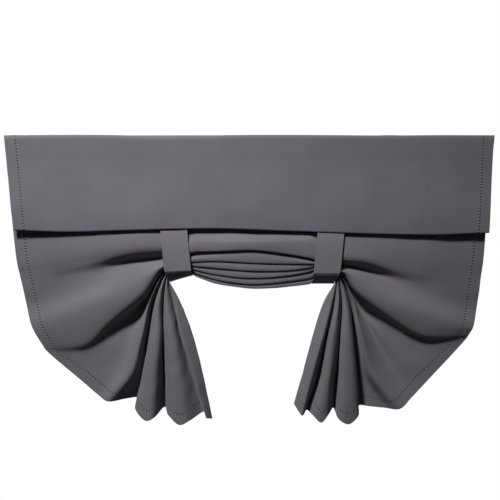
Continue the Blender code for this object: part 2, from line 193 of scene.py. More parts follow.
key_way = Vector((
    -math.sin(KEY_AZIMUTH) * math.cos(KEY_HEIGHT),
    -math.cos(KEY_AZIMUTH) * math.cos(KEY_HEIGHT),
    math.sin(KEY_HEIGHT),
))
soft_box("key_light", KEY_AIM + KEY_DISTANCE * key_way, KEY_AIM, size=0.7, watts=17.0, spread=45)
soft_box("fill_light", FILL_PLACE, CURTAIN_MIDDLE, size=1.2, watts=0.2)
back_light = soft_box("back_light", BACK_PLACE, CURTAIN_MIDDLE, size=1.5, watts=3.0, spread=45)
back_light.visible_camera = False

# %% [markdown]
# ## The white background
#
# The photograph's background is pure white, and yet it must not light the dark folds. So the world is
# white only for the rays that show it, from the camera and through shiny or clear things, and almost
# black for the rays that light the cloth.


# %% World
def seen_directly(tree):
    """1 for camera, glossy and transmission rays, and 0 for the rays that light things."""
    rays = add_node(tree, "ShaderNodeLightPath").outputs
    seen = add_node(tree, "ShaderNodeMath", [(0, rays["Is Camera Ray"]), (1, rays["Is Glossy Ray"])],
                    operation="MAXIMUM")
    return add_node(tree, "ShaderNodeMath", [(0, seen.outputs[0]), (1, rays["Is Transmission Ray"])],
                    operation="MAXIMUM").outputs[0]


ROOM_STRENGTH = 0.003
SHOWN_STRENGTH = 1.0

world = bpy.data.worlds.new("studio")
world.use_nodes = True
tree = world.node_tree
tree.nodes.clear()
room = add_node(tree, "ShaderNodeBackground", Color=linear("#FFFFFF"), Strength=ROOM_STRENGTH)
white = add_node(tree, "ShaderNodeBackground", Color=linear("#FFFFFF"), Strength=SHOWN_STRENGTH)
both = add_node(tree, "ShaderNodeMixShader",
                [(0, seen_directly(tree)), (1, room.outputs[0]), (2, white.outputs[0])])
add_node(tree, "ShaderNodeOutputWorld", [("Surface", both.outputs[0])])
bpy.context.scene.world = world
print("World:", world.name, "lights with a strength of", ROOM_STRENGTH)

# %% [markdown]
# ## The floor
#
# The curtain hangs, so the floor is only a pale sheet well below it, short enough that the front
# camera doesn't see it. It is matt paint, pale where it is seen and dark where it would throw light
# up into the folds.

# %% Floor
FLOOR_DROP = 1.3
FLOOR_REACH = 2.3

painted = bpy.data.materials.new("pale_floor_paint")
painted.use_nodes = True
tree = painted.node_tree
shader = tree.nodes["Principled BSDF"]
shader.inputs["Roughness"].default_value = 0.8
paint = add_node(tree, "ShaderNodeMix",
                 [("Factor", seen_directly(tree)), ("A", linear("#303030")), ("B", linear("#F4F4F4"))],
                 data_type="RGBA")
tree.links.new(paint.outputs["Result"], shader.inputs["Base Color"])

bm = bmesh.new()
bmesh.ops.create_grid(bm, x_segments=1, y_segments=1, size=FLOOR_REACH)
bmesh.ops.translate(bm, verts=bm.verts, vec=(0, 0, -FLOOR_DROP))
floor = new_piece("floor", bm, painted)
print("Floor", 2 * FLOOR_REACH, "m across at", -FLOOR_DROP)

# %% [markdown]
# ## The cloth's finish
#
# Blackout cloth is polyester woven so tightly that it has hardly any shine: a rough surface with a
# faint sheen where the fibres catch light at a low angle. Three things are drawn on it from up close:
# the crossing threads, soft patches of painted shade and painted light that stand for the shading of
# shallow ripples, and the needle holes along the hems, painted as dark dots of shade. All three are
# drawn from UV maps in metres, so they follow the cloth into its folds.
#
# Real threads lie 0.35 mm apart, which is far below a pixel here, so they are drawn four times as
# coarse. Real stitches are about 3.2 mm apart on these hems. They and the painted shade of their
# needle holes are drawn 7.2 mm apart, with dark dots 3.6 mm wide, because finer ones melt into a plain
# line in the render.

# %% Woven cloth material
THREAD_SPACING = 0.0014
STITCH_PITCH = 0.0072
STITCH_INSET = 0.025
# The needle holes are painted shade: dark dots of this width and share of each pitch, in this near-black
# colour.
HOLE_SHADE_WIDTH = 0.0036
HOLE_SHADE_SHARE = 0.45
HOLE_SHADE_COLOUR = "#0A090A"
WAVE_PERIOD = math.pi / 10  # a wave texture of scale 1 repeats in this many metres
# Painted shade and painted light, in soft patches that stand for the shading of shallow ripples.
RIPPLE_SHADE_PER_METRE = 9.0  # soft patches of about 110 mm
SLUBS_PER_METRE = 260.0  # thicker bits of thread, about 4 mm long
WEAVE_HEIGHT = 0.0002


def woven_polyester(name, colour, ripple_shade_share=0.16):
    """Matt blackout cloth: crossing threads, patches of painted shade and light, and needle holes of painted
    shade.
    """
    material = bpy.data.materials.new(name)
    material.use_nodes = True
    tree = material.node_tree
    shader = tree.nodes["Principled BSDF"]
    shader.inputs["Roughness"].default_value = 0.88
    shader.inputs["Specular IOR Level"].default_value = 0.25
    shader.inputs["Sheen Weight"].default_value = 0.12
    shader.inputs["Sheen Roughness"].default_value = 0.5

    # The weave: two sets of waves that cross, slubs, and soft patches of painted shade and light.
    weave = add_node(tree, "ShaderNodeUVMap", uv_map="weave").outputs[0]
    warp, weft = (
        add_node(tree, "ShaderNodeTexWave", [("Vector", weave)], bands_direction=direction,
                 Scale=WAVE_PERIOD / THREAD_SPACING, Distortion=0.4).outputs["Fac"]
        for direction in ("X", "Y")
    )
    crossing = add_node(tree, "ShaderNodeMath", [(0, warp), (1, weft)], operation="MULTIPLY")
    ripple_shade = add_node(tree, "ShaderNodeTexNoise", [("Vector", weave)], Scale=RIPPLE_SHADE_PER_METRE, Detail=4.0)
    slubs = add_node(tree, "ShaderNodeTexNoise", [("Vector", weave)], Scale=SLUBS_PER_METRE, Detail=2.0)

    # The needle holes, painted as near-black shade: near the sewn line, and in the last part of each pitch
    # along it.
    hem = add_node(tree, "ShaderNodeUVMap", uv_map="hem")
    hem = add_node(tree, "ShaderNodeSeparateXYZ", [("Vector", hem.outputs[0])])
    aside = add_node(tree, "ShaderNodeMath", [(0, hem.outputs["X"]), (1, STITCH_INSET)], operation="SUBTRACT")
    aside = add_node(tree, "ShaderNodeMath", [(0, aside.outputs[0])], operation="ABSOLUTE")
    beside = add_node(tree, "ShaderNodeMath", [(0, aside.outputs[0]), (1, HOLE_SHADE_WIDTH / 2)],
                      operation="LESS_THAN")
    turns = add_node(tree, "ShaderNodeMath", [(0, hem.outputs["Y"]), (1, STITCH_PITCH)], operation="DIVIDE")
    turns = add_node(tree, "ShaderNodeMath", [(0, turns.outputs[0])], operation="FRACT")
    along = add_node(tree, "ShaderNodeMath", [(0, turns.outputs[0]), (1, 1 - HOLE_SHADE_SHARE)],
                     operation="GREATER_THAN")
    hole_shade = add_node(tree, "ShaderNodeMath", [(0, beside.outputs[0]), (1, along.outputs[0])],
                     operation="MULTIPLY")

    # Painted shade and painted light: the colour goes darker and lighter in soft patches, for the shading of
    # ripples.
    dark, light = (tuple(c * (1 + side * ripple_shade_share) for c in linear(colour)[:3]) + (1.0,) for side in (-1, 1))
    ripple_shaded_colour = add_node(tree, "ShaderNodeMix", [("Factor", ripple_shade.outputs["Fac"]), ("A", dark), ("B", light)],
                      data_type="RGBA")
    # Painted shade: the near-black dots of the needle holes laid over the cloth's colour.
    cloth_with_hole_shade = add_node(tree, "ShaderNodeMix",
                    [("Factor", hole_shade.outputs[0]), ("A", ripple_shaded_colour.outputs["Result"]), ("B", linear(HOLE_SHADE_COLOUR))],
                    data_type="RGBA")
    tree.links.new(cloth_with_hole_shade.outputs["Result"], shader.inputs["Base Color"])

    height = add_node(tree, "ShaderNodeMath", [(0, crossing.outputs[0]), (1, slubs.outputs["Fac"])],
                      operation="ADD")
    bump = add_node(tree, "ShaderNodeBump", [("Height", height.outputs[0])],
                    Strength=0.35, Distance=WEAVE_HEIGHT)
    tree.links.new(bump.outputs["Normal"], shader.inputs["Normal"])
    return material


# One cloth in three copies: the flap's colour is set darker and the straps' lighter than the panel's, as
# painted shade on the flap and painted light on the straps.
panel_cloth = woven_polyester("panel_woven_polyester", "#6A686E")
flap_cloth = woven_polyester("flap_woven_polyester", "#65636A")
strap_cloth = woven_polyester("strap_woven_polyester", "#6E6C72", ripple_shade_share=0.06)
print("Cloths:", panel_cloth.name, flap_cloth.name, strap_cloth.name)

# %% [markdown]
# ## The sewing thread
#
# The hems are sewn with spun polyester thread, dyed to match. It is smoother and a shade lighter than
# the cloth, and its twist shows as a fine change of tone along it.

# %% Thread material
TWIST_PER_METRE = 900.0  # one turn in about 1.1 mm

thread = bpy.data.materials.new("spun_polyester_thread")
thread.use_nodes = True
tree = thread.node_tree
shader = tree.nodes["Principled BSDF"]
shader.inputs["Roughness"].default_value = 0.65
shader.inputs["Sheen Weight"].default_value = 0.1
place = add_node(tree, "ShaderNodeTexCoord")
twist = add_node(tree, "ShaderNodeTexNoise", [("Vector", place.outputs["Object"])], Scale=TWIST_PER_METRE)
shade = add_node(tree, "ShaderNodeMix",
                 [("Factor", twist.outputs["Fac"]), ("A", linear("#85848B")), ("B", linear("#A09FA6"))],
                 data_type="RGBA")
tree.links.new(shade.outputs["Result"], shader.inputs["Base Color"])
print("Thread:", thread.name)

# %% [markdown]
# ## Sizes of the curtain
#
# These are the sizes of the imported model. A drop is a distance down from the curtain's top edge, and a
# depth runs back from the rod's plane, so what stands towards the room has a negative depth.

# %% Sizes
PANEL_WIDTH = 1.176
SIDE_DRAW_IN = 0.020
FOLDS_DROP = 0.193
TIE_DROP = 0.330
TAIL_LENGTH = 0.355
ROD_SPACE = 0.018
POCKET_DROP = 0.050
POCKET_TURN = 0.004
POCKET_CLOTH = 0.0006
GAP = 0.0005
TIE_PLACES = {"left": -0.170, "right": 0.185}
STRAP_WIDTH = 0.064
BUNCH_MIDDLE = -0.011
GATHER_DROP = 0.310
GATHER_SHARE = 0.72
GATHER_REACH = 0.012
GATHER_PRESS = 0.80
MOUTH_OUTER = 0.037
MOUTH_INNER = {"left": 0.0223, "right": 0.0218}
MOUTH_SHARES = (0.48, 0.34)
LOOSE_SHARE = 0.90
INNER_SHARE = 0.40
INNER_SET_BACK = 0.010
print("The tails reach", round((TIE_DROP + TAIL_LENGTH) * 1000), "mm below the top edge")

# %% [markdown]
# ## The fold lines
#
# Where the cloth leaves a strap it fans out, and each crest and each valley of the fan is one line.
# A line is given by four points, as shares in hundredths: how far out to the side edge, and how far
# down the tail. Three depths in millimetres follow, near the tie, half way and at the end. The list
# runs from the top of the fan round to the free inner edge.

# %% Fold lines
LEFT_FOLDS = (
    ((30.5, -38.5), (52, -38.5), (73.5, -38.5), (95.2, -38.5), -12, -18, -15),
    ((30, -21), (51, -17), (72.5, -13), (92.5, -10), -26, -24, -17),
    ((29, -12.5), (49.5, -7), (71, -2), (90.5, 2), -23, -19, -13),
    ((28, -7.5), (46.5, -1), (68, 5), (88.5, 12.5), -2, -13, -11),
    ((26.3, -1), (45, 7), (64.5, 16), (86.5, 24), -17, -17, -8),
    ((24, 8), (42.5, 18), (62, 28.5), (83.5, 36.5), -32, -36, -18),
    ((20.6, 16), (38.6, 32), (55, 46.5), (77.5, 49), -28, -31, -14),
    ((20, 20), (36.8, 36.5), (51.5, 52.5), (73, 55.5), 14, -12, -11),
    ((19.2, 23), (32.5, 42), (46, 62), (56, 72.5), 12, -7, -8),
    ((17.8, 21.5), (26.2, 43), (35.5, 66.5), (46, 82.5), 5, -8, -9),
    ((16.2, 19.2), (20.8, 43.5), (27, 68), (40, 86.8), -22, -30, -20),
    ((15.2, 19.4), (18.4, 44), (22.8, 70), (31.5, 85.7), -8, 4, -2),
    ((14.4, 19.6), (17.6, 44), (21.2, 70), (27, 85), 6, 12, 8),
    ((13.8, 19.9), (17, 44), (20.8, 70), (24, 85.5), 10, 15, 12),
    ((13.2, 20.1), (16.5, 44), (20.5, 70), (24.5, 91.5), -12, -22, -24),
    ((11.5, 20.2), (13.6, 44.5), (16.8, 71.5), (18.6, 99), -26, -38, -38),
    ((9.7, 20.2), (9.8, 44.5), (11.7, 71.5), (13.2, 97), -20, -33, -34),
    ((8.7, 20.2), (8.8, 44.5), (8.6, 71.5), (8.2, 91.5), 4, 13, 15),
    ((8.1, 20.3), (7.8, 44.5), (6.4, 72), (5.7, 95.5), -12, -20, -24),
    ((6.5, 20.3), (4.5, 44.5), (2.4, 73), (-0.6, 102), -24, -36, -36),
    ((4.7, 20.2), (0.6, 44.5), (-3.2, 72), (-6.5, 99.5), -18, -30, -31),
    ((2.9, 20.2), (-1.3, 44), (-8.2, 71.5), (-14.4, 94.5), 1, 10, 10),
    ((2.2, 20.1), (-2, 43.5), (-9.5, 71), (-16, 97.5), -12, -22, -24),
    ((-1.2, 20), (-8.5, 43), (-14.5, 71), (-19.5, 99), -4, 1, 1),
)
RIGHT_FOLDS = (
    ((23.5, -38.5), (48, -38.5), (72, -38.5), (95, -38.5), -12, -18, -15),
    ((23.5, -17), (47.5, -14), (71, -12), (93, -10), -26, -22, -16),
    ((23.5, -7), (46, -1), (69.5, 1), (91.5, 3), -26, -18, -13),
    ((23.5, -2), (44, 5.5), (67.5, 11), (90.5, 13), 0, -12, -12),
    ((22.5, 2), (42.5, 11.5), (66.5, 20), (89, 25), -17, -17, -8),
    ((21, 5.5), (40, 20), (61.5, 30), (87, 35.5), -31, -40, -20),
    ((18.9, 14), (38, 29.5), (58, 42), (84.5, 41.5), -27, -33, -16),
    ((18.9, 19), (36, 33.5), (56, 46), (80, 48.5), 17, -8, -10),
    ((18.4, 23), (31.5, 41), (46, 61), (60, 73), 15, -3, -8),
    ((17.3, 21), (26.8, 41.5), (39, 67), (50.5, 84.5), 8, 5, -8),
    ((15.9, 18.8), (20, 41), (26.6, 68), (43.3, 91.8), -22, -32, -20),
    ((15.2, 19.4), (18.4, 42.5), (22.9, 69), (34.5, 91.5), -8, 4, -3),
    ((14.6, 19.8), (17.2, 43), (20.6, 70), (26.5, 91), 6, 12, 8),
    ((13.9, 20.1), (16.2, 43), (18.6, 70), (19.5, 90.5), 10, 15, 12),
    ((13.2, 20.3), (15.7, 44), (17.6, 70), (18.8, 96), -12, -22, -24),
    ((11.5, 20.6), (13, 44.5), (14, 71.5), (12.8, 101.5), -26, -38, -38),
    ((9.7, 20.8), (8.6, 44.5), (8, 71.5), (6.6, 98), -20, -33, -34),
    ((9.1, 20.8), (8.1, 44.5), (6.4, 71.5), (4.4, 92), 4, 13, 15),
    ((8.1, 20.8), (6.9, 44.5), (3.5, 71.5), (1.2, 95), -12, -20, -24),
    ((6.8, 20.8), (4, 44), (1, 72), (-3.5, 100.5), -24, -36, -36),
    ((5.6, 20.8), (1.2, 44), (-2.6, 71.5), (-8.6, 95.5), -18, -30, -30),
    ((4.2, 20.8), (0, 44), (-5, 71.5), (-11.6, 93.5), 1, 13, 12),
    ((2.8, 20.8), (-2.6, 44), (-9.4, 71.5), (-14.8, 96), -14, -28, -26),
    ((-2, 20.8), (-8.5, 44), (-15, 71.5), (-19.5, 89), -4, 1, 1),
)
FOLDS = {"left": LEFT_FOLDS, "right": RIGHT_FOLDS}
LINES = len(LEFT_FOLDS)
MOUTH_DROPS = {
    "left": (-38.5, -22.0, -14.5, -10.0, -6.5, -3.8),
    "right": (-38.5, -19.0, -9.0, -5.0, -2.3, -0.8),
}
MOUTH_FIRST = {"left": -1.3, "right": 0.6}
MOUTH_LAST = {"left": 5.0, "right": 5.6}
JOINED_LINES = 3
print("Fold lines:", {side: len(lines) for side, lines in FOLDS.items()})

# %% [markdown]
# ## The swag between the straps
#
# Between the straps the same cloth first bellies out into a smooth roll, then tucks under it five
# times. Each lower edge, the roll's first, is given by its drops at five places from the left strap
# to the right one. Down one vertical cut, a key point lies in each tuck, on each belly and on each
# edge.

# %% The swag's cuts
SWAG_EDGES = (
    (0.280, 0.280, 0.2775, 0.287, 0.301),
    (0.3085, 0.3036, 0.308, 0.3103, 0.3115),
    (0.312, 0.3204, 0.327, 0.326, 0.3127),
    (0.3145, 0.3358, 0.3444, 0.338, 0.321),
    (0.3185, 0.3475, 0.3595, 0.353, 0.3395),
    (0.3235, 0.3565, 0.3690, 0.3645, 0.3535),
)
ROLL_BELLY_DROP = 0.256
ROLL_FRONT = 0.029
SWAG_FRONT = 0.026
SWAG_STEP = 0.0042
SWAG_BULGE = 0.006
SWAG_ROUND = 0.0012
SWAG_TUCK = 0.011
SWAG_START = ((-0.010, FOLDS_DROP), (-0.018, 0.236))
EDGE_BACK = 0.3
TUCK_FORWARD = 0.35
TUCK_PRESS = 0.6
BELLY_SHARE = 0.55
BELLY_GAPE_SHARE = 0.2
ROLL_GAPE_DEPTH = 0.007
ROLL_GAPE_SHARE = 0.5
LAST_TUCK_FADES = 0.35
LAST_TUCK_FADE_SPAN = 0.3
LAST_TUCK_SHARE = 0.1
SWAG_HEM_DROPS = (0.350, 0.325, 0.302, 0.284, 0.270)
SWAG_HEM_ARCH = 0.010
SWAG_HEM_BACK = 0.0006


def swag_edge(number, share):
    """Drop of one tuck's lower edge at a share of the way between the straps."""
    keys = [[drop] for drop in SWAG_EDGES[number]]
    return float(smooth_through(keys, [share * (len(keys) - 1)])[0, 0])


def swag_cut(share):
    """Depths and drops of the key points down one vertical cut of the swag."""
    arch = (4 * share * (1 - share)) ** 2
    gape = (1 - 2 * share) ** 2
    fronts = [-SWAG_FRONT + number * SWAG_STEP - SWAG_BULGE * arch for number in range(len(SWAG_EDGES))]
    fronts[0] = -ROLL_FRONT - SWAG_BULGE * arch
    edges = [swag_edge(number, share) for number in range(len(SWAG_EDGES))]
    points = [*SWAG_START, (fronts[0], ROLL_BELLY_DROP), (fronts[0] + SWAG_STEP * EDGE_BACK, edges[0])]
    for number in range(1, len(SWAG_EDGES)):
        above, edge, front = edges[number - 1], edges[number], fronts[number]
        rise = SWAG_TUCK * (1 - TUCK_PRESS * gape)
        tuck = np.array((front + SWAG_STEP * TUCK_FORWARD, above - rise))
        belly = (front - SWAG_ROUND, mix(above, edge, BELLY_SHARE + BELLY_GAPE_SHARE * gape * (number == 1)))
        if number == 1:
            tuck = np.array((tuck[0] + ROLL_GAPE_DEPTH * gape, mix(tuck[1], edge, ROLL_GAPE_SHARE * gape)))
        if number == len(SWAG_EDGES) - 1:
            flat = np.array((front, mix(above, edge, LAST_TUCK_SHARE)))
            tuck = mix(tuck, flat, float(ease((share - LAST_TUCK_FADES) / LAST_TUCK_FADE_SPAN)))
        points += [tuple(tuck), belly, (front + SWAG_STEP * EDGE_BACK, edge)]
    back = -SWAG_FRONT + len(SWAG_EDGES) * SWAG_STEP
    for number, drop in enumerate(SWAG_HEM_DROPS):
        level = min(drop + SWAG_HEM_ARCH * arch, edges[-1] - SWAG_TUCK)
        points.append((back + SWAG_HEM_BACK * number, level))
    return np.array(points)


def held_cut(share):
    """The same key points where a strap presses the tucks together."""
    keys = swag_cut(share)
    held = keys.copy()
    held[1:, 0] = mix(BUNCH_MIDDLE, keys[1:, 0], GATHER_PRESS)
    held[1:, 1] = mix(GATHER_DROP, keys[1:, 1], GATHER_SHARE)
    return held


print("Key points down the swag:", len(swag_cut(0.5)))

# %% [markdown]
# ## One fold line, from the strap outwards
#
# A line starts under the strap, where the whole bunch is pressed towards its middle, then leaves the
# strap's edge at its own height and runs on through its four points. Inner lines are nested: each
# comes out a little further from the strap than the one before it.


# %% Fold line points
INNER_DROP_SHARE = 0.45
SECOND_DEPTH_SHARE = 0.8
THIRD_DEPTH_SHARE = 0.4


def mouth(side, number):
    """Where a line leaves the strap: how far out, how far below the tie, and how pressed."""
    loose = len(MOUTH_DROPS[side])
    if number < loose:
        return MOUTH_OUTER, TAIL_LENGTH * MOUTH_DROPS[side][number] / 100, LOOSE_SHARE
    share = (number - loose) / (LINES - 1 - loose)
    drop = mix(MOUTH_FIRST[side], MOUTH_LAST[side], share)
    return mix(MOUTH_OUTER, MOUTH_INNER[side], share), TAIL_LENGTH * drop / 100, mix(*MOUTH_SHARES, share)


def fold_line(side, number):
    """Six points of one fold line: across, depth and height."""
    *places, near, middle, end = FOLDS[side][number]
    towards = math.copysign(1, TIE_PLACES[side])
    reach = PANEL_WIDTH / 2 - abs(TIE_PLACES[side])
    out_of_strap, drop, pressed = mouth(side, number)
    inner_drop = min(drop, mix(drop, TAIL_LENGTH * MOUTH_FIRST[side] / 100, INNER_DROP_SHARE))
    millimetres = (near, mix(near, middle, SECOND_DEPTH_SHARE), mix(middle, end, THIRD_DEPTH_SHARE), end)
    depths = [depth / 1000 for depth in millimetres]
    inner_depth = mix(BUNCH_MIDDLE, depths[0], INNER_SHARE)
    points = [(INNER_SET_BACK, inner_depth, TIE_DROP + inner_drop)]
    if number <= JOINED_LINES:
        held = held_cut(0.0 if side == "left" else 1.0)[number]
        points = [(0.0, held[0], held[1])]
    points.append((out_of_strap, mix(BUNCH_MIDDLE, depths[0], pressed), TIE_DROP + drop))
    for (out, fall), depth in zip(places, depths):
        points.append((reach * out / 100, depth, TIE_DROP + TAIL_LENGTH * fall / 100))
    return [(TIE_PLACES[side] + towards * out, depth, TOP_EDGE - down) for out, depth, down in points]


print("First left line ends at", [round(v, 3) for v in fold_line("left", 0)[-1]])

# %% [markdown]
# ## From lines to a surface
#
# The lines are laid side by side, and a second set of curves runs across them: that is the surface.
# Columns aren't spaced evenly along a row. Several lie at fixed distances from the hem, so the sewn
# line and the turned edge are crisp, and the rest share what is left up to the strap.

# %% Surface of a gathered side
FOLD_STEPS = 7
FINE_STEPS = 60
HEM_COLUMNS = (0.0, 0.0009, 0.006, 0.013, 0.020, 0.0235, 0.0245, 0.0255, 0.0265, 0.030)
WING_COLUMNS = 72
SWAG_COLUMNS = 64
PLACES = np.linspace(0, LINES - 1, (LINES - 1) * FOLD_STEPS + 1)


def gathered_side(side):
    """Points row by row down the side, each row from strap to hem, and each point's hem distance."""
    keys = np.array([fold_line(side, number) for number in range(LINES)])
    spans = keys.shape[1] - 1
    along = smooth_through(keys.swapaxes(0, 1), np.linspace(0, spans, spans * FINE_STEPS + 1))
    rows = smooth_through(along.swapaxes(0, 1), PLACES)
    inner = WING_COLUMNS - len(HEM_COLUMNS) + 1
    spread = np.linspace(0, 1, inner, endpoint=False)
    near_hem = np.array(HEM_COLUMNS[::-1])
    grid, distance = [], []
    for row in rows:
        steps = np.linalg.norm(np.diff(row, axis=0), axis=1)
        measured = np.concatenate([[0], np.cumsum(steps)])
        length = measured[-1]
        stops = np.concatenate([spread * (length - near_hem[0]), length - near_hem])
        grid.append([np.interp(stops, measured, row[:, axis]) for axis in range(3)])
        distance.append(length - stops)
    return np.array(grid).transpose(0, 2, 1), np.array(distance)


wings = {side: gathered_side(side) for side in TIE_PLACES}
longest = float(wings["left"][1].max())
print("Each side:", wings["left"][0].shape, "points; longest row", round(longest, 3), "m")

# %% [markdown]
# The swag is made the same way, but its rows run from strap to strap. At each strap its key points are
# the pressed ones, and within a few centimetres they open out into the loose cuts.

# %% Surface of the swag
SLIT_PART = 0.0011


def swag_sheet():
    """Grid of points, row by row down the swag, from the left strap to the right one."""
    left, right = TIE_PLACES["left"], TIE_PLACES["right"]
    columns = []
    shares = (1 - np.cos(np.linspace(0, math.pi, SWAG_COLUMNS + 1))) / 2  # closer together at the straps
    for share in shares:
        x = mix(left, right, share)
        free = float(ease(min(x - left, right - x) / (STRAP_WIDTH / 2 + GATHER_REACH)))
        keys = mix(held_cut(round(share)), swag_cut(share), free)
        depth, drop = smooth_through(keys, PLACES).T
        parted = np.where(PLACES > JOINED_LINES, math.copysign(SLIT_PART, 0.5 - share) * (1 - free), 0)
        columns.append(np.stack([x + parted, depth, TOP_EDGE - drop], axis=1))
    return np.array(columns).transpose(1, 0, 2)


swag = swag_sheet()
print("Swag:", swag.shape, "points; lowest", round(float(swag[..., 2].min()), 3))

# %% [markdown]
# ## The top of the panel
#
# Above the folds the cloth hangs plainly. It goes up the front of the pocket, over the rod's place,
# down behind and back to the seam, where its raw edge is turned in.


# %% Pocket and plain cloth
POCKET_ARC_STEPS = 16
POCKET_BACK_STEPS = 20
POCKET_BACK_END = 3.9  # just short of the last key point, where the turn over the rod starts
POCKET_BACK_SHARES = ((0.35, 0.14), (0.75, 0.40), (1.0, 0.70))
POCKET_FRONT_SHARES = (0.25, 0.5, 0.75, 0.95, 1.0)
PLAIN_ROWS = 10
FOLDS_START_SHARPNESS = 8


def half_width(drop):
    """Half of the panel's width at a drop below the top edge, above the folds."""
    return PANEL_WIDTH / 2 - SIDE_DRAW_IN * np.clip(drop / FOLDS_DROP, 0, 1)


def pocket_cut():
    """Depths and heights round the pocket, from the seam behind its front to the front itself."""
    radius = (ROD_SPACE + POCKET_CLOTH) / 2
    seam = TOP_EDGE - POCKET_DROP
    layer = -radius + POCKET_CLOTH + GAP
    (near_out, near_up), (wide_out, wide_up), (full_out, full_up) = POCKET_BACK_SHARES
    back = [
        (layer, seam),
        (mix(layer, radius, near_out), mix(seam, 0, near_up)),
        (radius * wide_out, mix(seam, 0, wide_up)),
        (radius * full_out, mix(seam, 0, full_up)),
        (radius, 0),
    ]
    up_the_back = np.linspace(0, POCKET_BACK_END, POCKET_BACK_STEPS)
    points = [(layer, seam - POCKET_TURN), *smooth_through(back, up_the_back)]
    angles = np.linspace(0, math.pi, POCKET_ARC_STEPS + 1)
    points += list(zip(radius * np.cos(angles), radius * np.sin(angles)))
    points += [(-radius, seam * share) for share in POCKET_FRONT_SHARES]
    return np.array([tuple(point) for point in points])


def upper_rows(first_fold):
    """Rows from the pocket's seam down to the row where the folds start, over the same columns."""
    rows = [(depth, height, 0.0) for depth, height in pocket_cut()]
    front_depth, front_height, _ = rows[-1]
    for share in np.linspace(0, 1, PLAIN_ROWS + 1)[1:-1]:
        rows.append((front_depth, mix(front_height, TOP_EDGE - FOLDS_DROP, share), share))
    sheet = []
    for depth, height, share in rows:
        spread = half_width(TOP_EDGE - height) / half_width(FOLDS_DROP)
        row = first_fold.copy()
        row[:, 0] *= spread
        row[:, 1] = mix(depth, first_fold[:, 1], share)
        row[:, 2] = mix(height, first_fold[:, 2], share ** FOLDS_START_SHARPNESS)
        sheet.append(row)
    return np.array(sheet)


def with_top(points):
    """A zone's whole grid, from the pocket down."""
    return np.concatenate([upper_rows(points[0]), points])


zones = {"left": with_top(wings["left"][0]), "swag": with_top(swag), "right": with_top(wings["right"][0])}
UPPER_ROWS = len(zones["swag"]) - len(PLACES)
print("Rows above the folds:", UPPER_ROWS, "of", len(zones["swag"]))

# %% [markdown]
# ## Small unevenness
#
# A surface that is only smooth curves looks like rubber. Woven cloth keeps shallow dents a few
# centimetres wide, and a sewn hem puckers a little between its stitches. Both are moves of under a
# millimetre along the surface's own normal, made with a noise that is the same every time.


# %% Normals, and the noise for dents
DENT = 0.0009
DENT_SIZE = 0.055
PUCKER = 0.00035
PUCKER_SIZE = 0.010
PUCKER_SQUEEZE = 0.3  # a pucker is about three times as long across the hem as along it
PUCKER_LAYER = 5  # a noise layer of its own keeps each pattern apart from the others
GROOVE = 0.00008
GROOVE_WIDTH = 0.0009
HEM_REACH = 0.030
HEM_FADE = 0.006
QUIET_REACH = 0.10


def grid_normals(points):
    """Outward normals of a grid whose columns run to +X and whose rows run down."""
    down, across = np.gradient(points, axis=0), np.gradient(points, axis=1)
    normals = np.cross(down, across)
    return normals / np.maximum(np.linalg.norm(normals, axis=2, keepdims=True), 1e-12)


def noise_grid(u, v, size, layer):
    """Smooth noise from -1 to 1 at cloth coordinates u and v in metres."""
    flat = [noise.noise(Vector((a / size, b / size, layer))) for a, b in zip(u.ravel(), v.ravel())]
    return np.array(flat).reshape(u.shape)


def run_down(points):
    """Length of cloth down each column, from the first row."""
    steps = np.linalg.norm(np.diff(points, axis=0), axis=2)
    return np.concatenate([np.zeros((1, points.shape[1])), np.cumsum(steps, axis=0)])


def puckers(from_edge, u, v, layer, reach=HEM_REACH):
    """Small waves along a hem, which fade out past its sewn line."""
    return PUCKER * np.clip((reach - from_edge) / HEM_FADE, 0, 1) * noise_grid(u, v, PUCKER_SIZE, layer)


def groove(from_edge, sewn_at):
    """The shallow groove that a row of stitches pulls into the cloth."""
    return GROOVE * np.exp(-((from_edge - sewn_at) / GROOVE_WIDTH) ** 2)


print("Dents of", DENT * 1000, "mm; the grooves of the stitches are", GROOVE * 1000, "mm deep")

# %% [markdown]
# ## The three zones of the panel
#
# The left side, the swag and the right side get their unevenness one by one. The same step measures
# each point's run down the cloth and its distance from the hem, which place the weave and the needle
# holes later. Near the straps the cloth is pulled tight, so it stays quiet there.

# %% Zones with their dents
SWAG_WEAVE_OFFSET = 1.0
NO_HEM_NEAR = 1.0

sheets = {}
for layer, (zone, points) in enumerate(zones.items()):
    down = run_down(points)
    if zone == "swag":
        across = np.broadcast_to(points[:1, :, 0] + SWAG_WEAVE_OFFSET, down.shape)
        distance = np.full(down.shape, NO_HEM_NEAR)
        away = np.minimum(points[..., 0] - TIE_PLACES["left"], TIE_PLACES["right"] - points[..., 0])
    else:
        distance = np.concatenate([np.repeat(wings[zone][1][:1], UPPER_ROWS, axis=0), wings[zone][1]])
        across = distance
        away = distance[:, :1] - distance
    if zone == "left":
        flipped = (grid[:, ::-1] for grid in (points, down, across, distance, away))
        points, down, across, distance, away = flipped
    normals = grid_normals(points)
    sewn_column = int(np.argmin(np.abs(distance[-1] - STITCH_INSET)))
    run = np.broadcast_to(down[:, sewn_column:sewn_column + 1], down.shape)
    move = DENT * ease(away / QUIET_REACH) * noise_grid(across, down, DENT_SIZE, layer)
    move += puckers(distance, distance * PUCKER_SQUEEZE, run, layer + PUCKER_LAYER)
    move -= groove(distance, STITCH_INSET)
    sheets[zone] = {
        "points": points + normals * move[..., None], "normals": normals, "distance": distance,
        "across": across, "down": down, "run": run, "sewn_column": sewn_column,
    }
print({zone: sheet["points"].shape for zone, sheet in sheets.items()})

